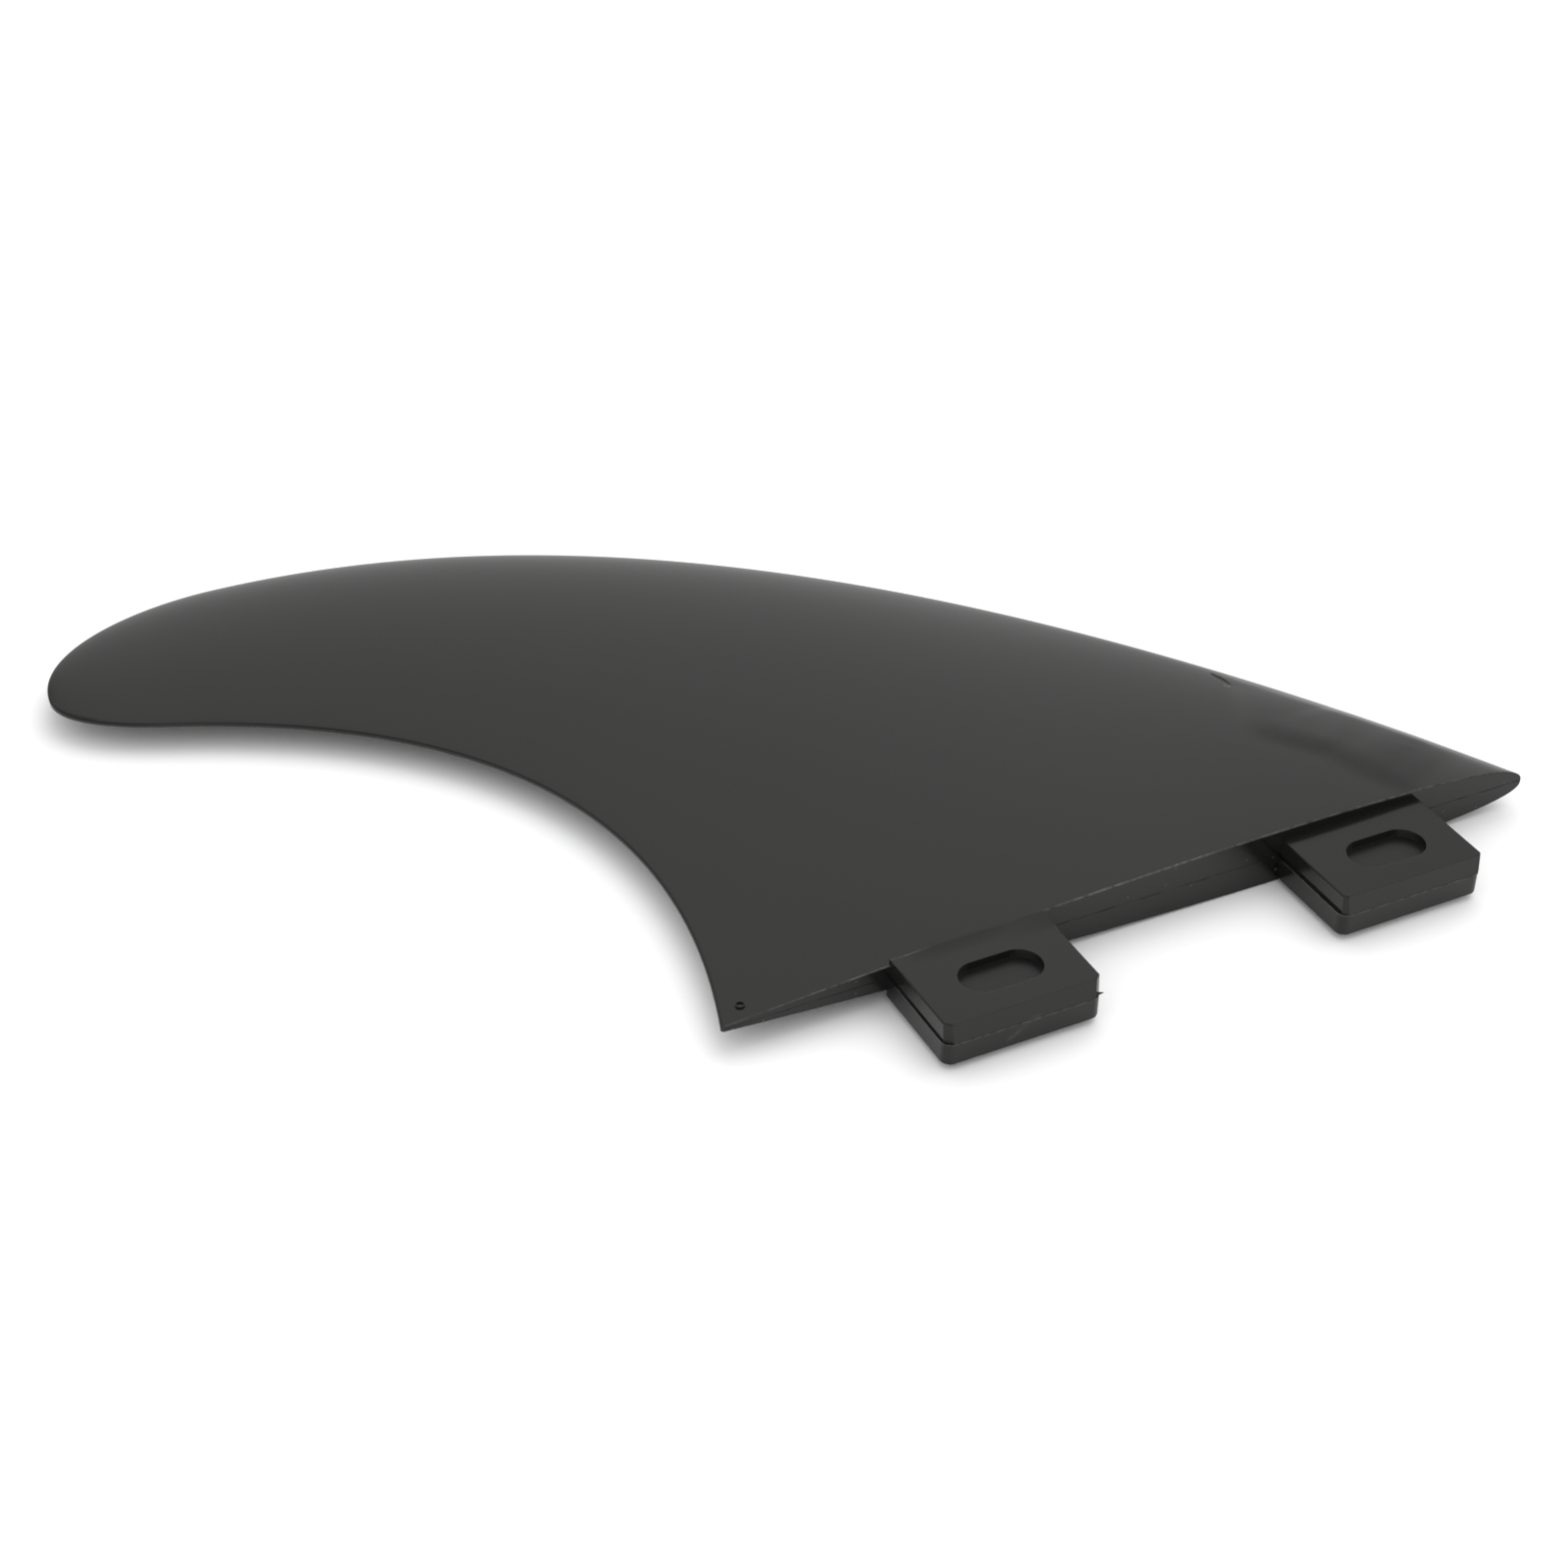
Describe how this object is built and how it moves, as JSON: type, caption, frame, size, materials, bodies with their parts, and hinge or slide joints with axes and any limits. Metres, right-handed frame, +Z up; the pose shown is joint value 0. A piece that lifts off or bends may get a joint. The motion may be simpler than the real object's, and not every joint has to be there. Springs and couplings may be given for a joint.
{
  "type": "surfboard fin",
  "caption": "Swept surfboard fin moulded in one piece, with a symmetrical foiled blade and square mounting tabs along its base",
  "frame": {"origin": "The middle of the blade's base, on the parting plane halfway through its thickness", "axes": "+X runs along the base from the trailing heel to the leading nose, +Y from the base to the tip, +Z is up through the thickness as the fin lies on its side"},
  "size_m": [0.1631, 0.1291, 0.0076],
  "materials": {
    "moulded_plastic": "smooth moulded charcoal-black nylon with a satin gloss"
  },
  "bodies": {
    "root": {"fin": "moulded_plastic"}
  },
  "joints": []
}
